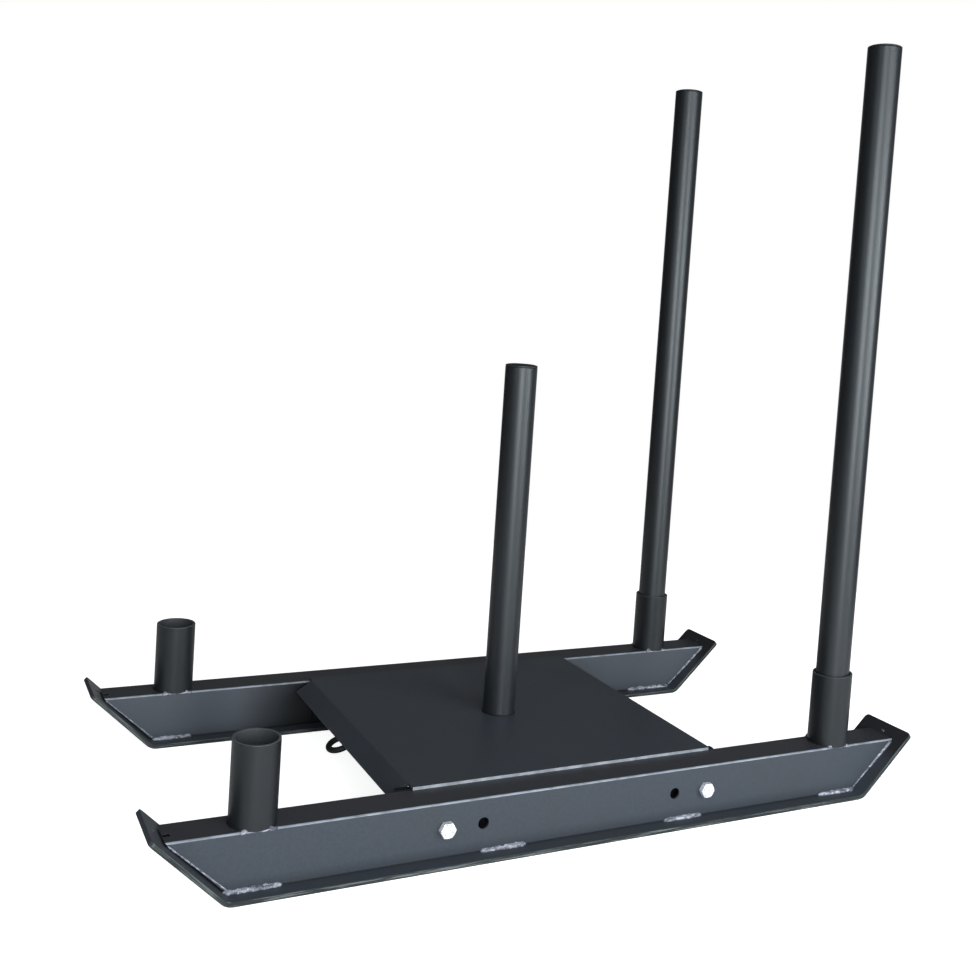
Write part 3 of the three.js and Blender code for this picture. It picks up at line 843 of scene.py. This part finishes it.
runner_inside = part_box("right_runner_tube")[0].y
drill_low, drill_high = low.z - cutter_reach, high.z + cutter_reach
tools = []
for direction in (-1, 1):
    for sign in runner_sides.values():
        near_x, far_x = [deck_middle + direction * x for x in (fold_x, edge_x + cutter_reach)]
        near_y, far_y = [sign * y for y in (runner_inside - deck_flap_inset, high.y + cutter_reach)]
        corners = [(near_x, near_y), (far_x, near_y), (far_x, far_y), (near_x, far_y)]
        tools.append(swept("notch", corners, "z", drill_low, drill_high))
post_centre, post_radius = upright("weight_post")
post_hole_radius = post_radius + deck_post_clearance
tools.append(rod(post_centre, post_hole_radius, "z", drill_low, drill_high, round_sides))
machine(deck, tools)
ease_edges(deck, deck_edge_ease)
fit(deck, deck_coat, "powder_coated_steel", "sled", "deck_plate")

# Weight post. The same tube as the poles, 522 mm above the deck, which takes plates with a 50 mm
# hole. It stands through the deck on the middle cross tube, with a thin dark ring round its foot
# as painted shade for the gap in the deck.
post_shade_ring_radius = 0.0013
post_shade_ring_level = deck_top + 0.0004

# Painted shade: a darker copy of the coat for parts in shade under the deck and the flap, and for the
# ring at the post's foot.
painted_shade_tones = ((0.0060, 0.0064, 0.0070), (0.0064, 0.0066, 0.0070), (0.010, 0.0105, 0.011))
painted_shade_coat = powder_coat("painted_shade_coat", painted_shade_tones, 0.55, 0.2)

post = round_pole("post", "weight_post")
fit(post, tube_coat, "powder_coated_steel", "sled", "weight_post")

shape = bmesh.new()
ring = arc(post_centre, post_radius, 0, 2 * pi, round_sides)
path = [Vector((x, y, post_shade_ring_level)) for x, y in ring]
post_foot = Vector((*post_centre, deck_top - 0.02))
weld_bead(shape, path, post_shade_ring_radius, lambda point: point - post_foot, seed=5, closed=True)
fit_bead("post_foot_shade_ring", shape, painted_shade_coat)

post_cap = plug_cap("cap_post", "weight_post_cap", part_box("weight_post")[1].z + seat_gap)
fit(post_cap, plastic, "black_moulding", "sled", "weight_post_cap")

# Frame under the deck. Two flat side plates bolted against the runners, with three square tubes
# welded between them, and a small dark web under each notched corner on the left that fills the
# gap there as painted shade. It is out of sight from above, and the plates and webs carry the
# darker coat as painted shade.
cross_tube_corner = 0.004
cross_bead_radius = 0.0025
plate_edge_ease = 0.0006
web_reach = 0.027
web_toe = 0.012
web_heel = 0.008
web_depth = 0.036
web_clearance = 0.0004

coat = powder_coat("powder_coat")

for side in runner_sides:
    node = f"{side}_side_plate"
    low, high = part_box(node)
    outline = [(low.x, low.z), (high.x, low.z), (high.x, high.z), (low.x, high.z)]
    plate = swept(f"side_plate_{side}", outline, "y", low.y, high.y)
    start, end = low.y - cutter_reach, high.y + cutter_reach
    places = bolt_places + spare_hole_places
    machine(plate, [rod((x, bolt_hole_level), bolt_hole_radius, "y", start, end, 64) for x in places])
    ease_edges(plate, plate_edge_ease)
    fit(plate, painted_shade_coat, "powder_coated_steel", "sled", node)

plate_low, plate_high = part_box("left_side_plate")
web_start, web_end = seat_gap - runner_inside, deck_flap_inset - web_clearance - runner_inside
# Painted shade: each web is a dark sheet that closes the gap beside a left notch.
for end_name, direction, foot_x in (("front", -1, plate_low.x), ("rear", 1, plate_high.x)):
    outline = [(0, -web_depth), (0, 0), (web_reach, 0), (web_reach, -web_toe), (web_heel, -web_depth)]
    outline = [(foot_x + direction * x, plate_high.z + z) for x, z in outline]
    shade_web = swept(f"web_{end_name}_left", outline, "y", web_start, web_end)
    ease_edges(shade_web, plate_edge_ease)
    fit(shade_web, painted_shade_coat, "powder_coated_steel", "sled")

for name in ("front", "centre", "rear"):
    node = f"{name}_cross_tube"
    low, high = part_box(node)
    middle = ((low.x + high.x) / 2, (low.z + high.z) / 2)
    size, corner = (high.x - low.x, high.z - low.z), cross_tube_corner
    tube = box_tube(f"cross_tube_{name}", "y", middle, *size, corner, low.y, high.y)
    smooth_faces(tube)
    fit(tube, coat, "powder_coated_steel", "sled", node)
    shape = bmesh.new()
    for wall_y in (low.y, high.y):
        outline = rounded_rectangle(middle, size[0], size[0], corner, 4)
        path = [Vector((x, wall_y, z)) for x, z in outline + outline[:1]]
        hub = Vector((middle[0], wall_y * 0.9, middle[1]))
        seed = wall_y * 90
        weld_bead(shape, path, cross_bead_radius, lambda point: point - hub, seed, closed=True)
    fit_bead(f"welds_{name}_cross_tube", shape, bead_coat)

# Tow loop. Round bar bent to a hairpin and welded under the middle of the front flap, its legs
# rising to the underside of the deck. A strap or a hook goes through it.
loop_rod = 0.0084
loop_slope = radians(20)
loop_steps = 32
loop_sides = 32

low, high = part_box("tow_loop")
rod_radius = loop_rod / 2
bow_radius = (high.y - low.y - loop_rod) / 2
loop_direction = Vector((cos(loop_slope), 0, sin(loop_slope)))
loop_normal = Vector((-sin(loop_slope), 0, cos(loop_slope)))
toe = Vector((low.x + rod_radius, 0, low.z + rod_radius))
bow = toe + loop_direction * bow_radius
leg_end_z = deck_top - deck_thickness - seat_gap - rod_radius * cos(loop_slope)
leg_end = bow + loop_direction * ((leg_end_z - bow.z) / sin(loop_slope))
aside = Vector((0, bow_radius, 0))
path = [leg_end + aside]
for step in range(loop_steps + 1):
    angle = pi * step / loop_steps
    path.append(bow - loop_direction * (bow_radius * sin(angle)) + aside * cos(angle))
path.append(leg_end - aside)

shape = bmesh.new()
rings = []
for index, point in enumerate(path):
    before, after = path[max(index - 1, 0)], path[min(index + 1, len(path) - 1)]
    across = (after - before).normalized().cross(loop_normal).normalized()
    ring = []
    for u, v in arc((0, 0), rod_radius, 0, 2 * pi, loop_sides)[:-1]:
        ring.append(shape.verts.new(point + across * u + loop_normal * v))
    rings.append(ring)
skin(shape, rings)
loop = object_from("tow_loop_rod", shape)
ease_edges(loop, sawn_edge_ease, steps=2)
# The loop carries the darker coat as painted shade under the flap.
fit(loop, painted_shade_coat, "powder_coated_steel", "sled", "tow_loop")

# Fasteners. M12 hex bolts through runner and side plate, each with a plain washer and a nut inside,
# all cold forged and bright zinc plated.
across_flats = 0.019
hex_flat_share = 0.95
hex_chamfer = radians(30)
hex_edge_ease = 0.0003
bolt_radius = 0.006
stem_overlap = 0.001
thread_length = 0.03
thread_pitch = 0.00175
thread_depth = 0.0009
thread_chamfer = 0.0015
thread_steps_per_turn = 10
thread_sides = 40
nut_bore_radius = 0.0063
washer_bore_radius = 0.0065
washer_edge = (0.0003, 0.0005)
small_round_sides = 64


def zinc_plate(name):
    """Bright zinc plate: pale blue-white metal with a mottled lustre and darker forging marks."""
    finish = Finish(name)
    cloud = finish.remap(finish.grain(380.0, detail=4.0, roughness=0.65), 0.44, 0.64)
    finish.join("Base Color", finish.blend(cloud, (0.84, 0.85, 0.89, 1), (0.38, 0.39, 0.43, 1)))
    finish.join("Roughness", finish.remap(cloud, 0.0, 1.0, 0.42, 0.55))
    finish.join("Normal", finish.bump(finish.grain(620.0, detail=3.0), 0.0004, 0.8))
    finish.surface.inputs["Metallic"].default_value = 0.35
    return finish.material


zinc = zinc_plate("zinc_plate")


def turned_across(name, profile):
    """A small piece turned about the y axis, from a closed (radius, distance) outline."""
    piece = turned(name, profile, (0, 0), small_round_sides)
    piece.data.transform(Matrix.Rotation(-pi / 2, 4, "X"))
    return piece


def hexagon(name, start, end, chamfer_start, chamfer_end):
    """A hexagonal blank along y, its corners turned off at one end or both."""
    outline = arc((0, 0), across_flats / sqrt(3), 0, 2 * pi, 6)[:-1]
    blank = swept(name, outline, "y", start, end)
    flat_radius = hex_flat_share * across_flats / 2
    outside = across_flats * 0.7
    drop = (outside - flat_radius) * tan(hex_chamfer)
    profile = [(0, start)]
    profile += [(flat_radius, start), (outside, start + drop)] if chamfer_start else [(outside, start)]
    profile += [(outside, end - drop), (flat_radius, end)] if chamfer_end else [(outside, end)]
    profile += [(0, end)]
    machine(blank, [turned_across("turning", profile)], operation="INTERSECT")
    return blank


def threaded_end(start, end):
    """The threaded part of a bolt along y, with a chamfered end."""
    shape = bmesh.new()
    rows = ceil((end - start) / thread_pitch * thread_steps_per_turn)
    rings = []
    for row in range(rows + 1):
        along = start + (end - start) * row / rows
        ring = []
        for k in range(thread_sides):
            angle = 2 * pi * k / thread_sides
            phase = (along / thread_pitch - k / thread_sides) % 1.0
            groove = thread_depth * (1 - abs(2 * phase - 1))
            radius = min(bolt_radius - groove, bolt_radius - thread_chamfer + (end - along))
            ring.append(shape.verts.new((radius * cos(angle), along, radius * sin(angle))))
        rings.append(ring)
    skin(shape, rings)
    return object_from("thread", shape)


def hex_bolt(name, head_height, stem_length):
    """A bolt along y, the seat of its head at 0: a hexagonal head, a plain stem and a thread."""
    bolt = hexagon(name, -head_height, 0.0, True, False)
    ease_edges(bolt, hex_edge_ease, steps=2)
    thread_start = stem_length - thread_length
    stem_outline = arc((0, 0), bolt_radius, 0, 2 * pi, thread_sides)[:-1]
    stem = swept("stem", stem_outline, "y", -stem_overlap, thread_start)
    smooth_faces(stem)
    shape = bmesh.new()
    shape.from_mesh(bolt.data)
    for other in (stem, threaded_end(thread_start, stem_length)):
        shape.from_mesh(other.data)
        bpy.data.objects.remove(other)
    shape.to_mesh(bolt.data)
    shape.free()
    bolt.data.shade_smooth()
    bolt.data.set_sharp_from_angle(angle=radians(30))
    return bolt


def hex_nut(name, length):
    nut = hexagon(name, 0.0, length, True, True)
    machine(nut, [rod((0, 0), nut_bore_radius, "y", -0.01, length + 0.01, thread_sides)])
    ease_edges(nut, hex_edge_ease, steps=2)
    return nut


def plain_washer(name, radius, thickness):
    edge_in, edge_up = washer_edge
    profile = [(washer_bore_radius, 0), (radius - edge_in, 0), (radius, edge_up)]
    profile += [(radius, thickness), (washer_bore_radius, thickness)]
    washer = turned_across(name, profile)
    smooth_faces(washer)
    return washer


for end_name, bolt_x in zip(("front", "rear"), bolt_places):
    for side, sign in runner_sides.items():
        label = f"{end_name}_{side}"
        bolt_low, bolt_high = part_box(f"{label}_bolt")
        head_out, tip = (bolt_low.y, bolt_high.y) if sign < 0 else (bolt_high.y, bolt_low.y)
        runner_low, runner_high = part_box(f"{side}_runner_tube")
        seat = runner_high.y + seat_gap if sign > 0 else runner_low.y - seat_gap
        bolt = hex_bolt(f"bolt_{label}", abs(head_out - seat), abs(tip - seat))

        nut_low, nut_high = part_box(f"{label}_nut")
        nut = hex_nut(f"nut_{label}", nut_high.y - nut_low.y)

        washer_low, washer_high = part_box(f"{label}_washer")
        washer_radius = (washer_high.z - washer_low.z) / 2
        washer = plain_washer(f"washer_{label}", washer_radius, washer_high.y - washer_low.y)

        turn = Matrix.Rotation(pi if sign > 0 else 0.0, 4, "Z")
        places = {
            "bolt": (bolt, seat),
            "nut": (nut, nut_low.y if sign < 0 else nut_high.y),
            "washer": (washer, washer_low.y if sign < 0 else washer_high.y),
        }
        for kind, (piece, y) in places.items():
            piece.data.transform(Matrix.Translation((bolt_x, y, bolt_hole_level)) @ turn)
            fit(piece, zinc, "zinc_plated_steel", "sled", f"{label}_{kind}")

# Studio. A pale floor that meets a white background, a row of soft boxes low along the near side
# with two more high up, and the camera where the photograph was taken from.
floor_radius = 1.6
floor_mirrored = 0.12
floor_direct = 0.84

shape = bmesh.new()
bmesh.ops.create_circle(shape, cap_ends=True, radius=floor_radius, segments=96)
floor = object_from("studio_floor", shape)
paper = Finish("studio_floor_paper")
paper.surface.inputs["Base Color"].default_value = (0.8, 0.8, 0.8, 1)
paper.surface.inputs["Roughness"].default_value = 0.9
paper.surface.inputs["Specular IOR Level"].default_value = 0.0
paper.surface.inputs["Emission Color"].default_value = (1, 1, 1, 1)
rays = paper.add("ShaderNodeLightPath").outputs
mirrored = paper.reckon("MAXIMUM", rays["Is Glossy Ray"], rays["Is Transmission Ray"])
glow = paper.product(mirrored, floor_mirrored)
direct = paper.product(rays["Is Camera Ray"], floor_direct)
paper.join("Emission Strength", paper.reckon("ADD", glow, direct))
floor.data.materials.append(paper.material)

lamp_centre = Vector((0.05, 0.0, 0.3))
lamp_distance = 3.2
lamp_tint = (0.91, 0.965, 1.0)
full_level = pi * pi * lamp_distance**2


def soft_box(name, azimuth, elevation, width, height, level):
    """A lamp at the given angles, in degrees, that gives this share of the plain level."""
    across, up = radians(azimuth), radians(elevation)
    direction = Vector((cos(up) * cos(across), cos(up) * sin(across), sin(up)))
    light = bpy.data.lights.new(name, "AREA")
    light.shape = "RECTANGLE"
    light.size = width
    light.size_y = height
    light.energy = level * full_level
    light.color = lamp_tint
    lamp = bpy.data.objects.new(name, light)
    bpy.context.scene.collection.objects.link(lamp)
    lamp.location = lamp_centre + direction * lamp_distance
    lamp.rotation_euler = (-direction).to_track_quat("-Z", "Y").to_euler()


soft_box("front_box", -150, 15, 0.6, 1.2, 0.08)
soft_box("front_strip", -118, 13, 0.5, 1.4, 0.30)
soft_box("near_strip", -104, 7, 0.35, 1.3, 0.48)
soft_box("key_box", -77, 11.5, 0.6, 1.9, 0.22)
soft_box("rear_box", -64, 10, 0.5, 1.2, 0.22)
soft_box("rear_strip", -52, 8, 0.35, 1.3, 0.31)
soft_box("camera_box", -106, 42, 0.8, 0.9, 0.09)
soft_box("high_box", -75, 35, 1.2, 0.9, 0.13)

# A plain room lights the sled, and one pale wall beyond its far rear corner shows in reflections.
room_level = 0.22
wall_way = (0.643, 0.766, 0.0)
wall_dark = 0.02
wall_bright = 0.5

world = bpy.data.worlds.new("studio")
bpy.context.scene.world = world
world.use_nodes = True
sky = NodeTree(world.node_tree)
background = sky.tree.nodes["Background"]
background.inputs["Color"].default_value = (1, 1, 1, 1)
rays = sky.add("ShaderNodeLightPath").outputs
toward = sky.add("ShaderNodeTexCoord").outputs["Generated"]
facing_wall = sky.add("ShaderNodeVectorMath", {0: toward, 1: wall_way}, operation="DOT_PRODUCT")
in_front = sky.remap(facing_wall.outputs["Value"], 0.62, 0.86)
height = sky.add("ShaderNodeSeparateXYZ", {0: toward}).outputs["Z"]
below_top = sky.remap(height, 0.27, 0.14)
wall = sky.remap(sky.product(in_front, below_top), 0.0, 1.0, wall_dark, wall_bright)
mirrored = sky.reckon("MAXIMUM", rays["Is Glossy Ray"], rays["Is Transmission Ray"])
plain = sky.mix(mirrored, room_level, wall)
shown = sky.mix(rays["Is Camera Ray"], plain, 1.0)
sky.tree.links.new(shown, background.inputs["Strength"])

bpy.context.scene.view_settings.view_transform = "Standard"

camera_place = Vector((-0.79825, -1.52014, 0.69281))
camera_ahead = Vector((0.441463, 0.895390, -0.058210)).normalized()
camera_up = Vector((-0.033023, 0.081043, 0.996163))
camera_data = bpy.data.cameras.new("camera")
camera_data.lens = 42.774
camera_data.sensor_width = 36.0
camera_data.shift_x = -0.0019
camera_data.shift_y = -0.1198
camera_data.clip_start = 0.05
camera = bpy.data.objects.new("camera", camera_data)
bpy.context.scene.collection.objects.link(camera)
camera_right = camera_ahead.cross(camera_up).normalized()
camera_up = camera_right.cross(camera_ahead)
turn = Matrix((camera_right, camera_up, -camera_ahead)).transposed()
camera.matrix_world = Matrix.Translation(camera_place) @ turn.to_4x4()
bpy.context.scene.camera = camera
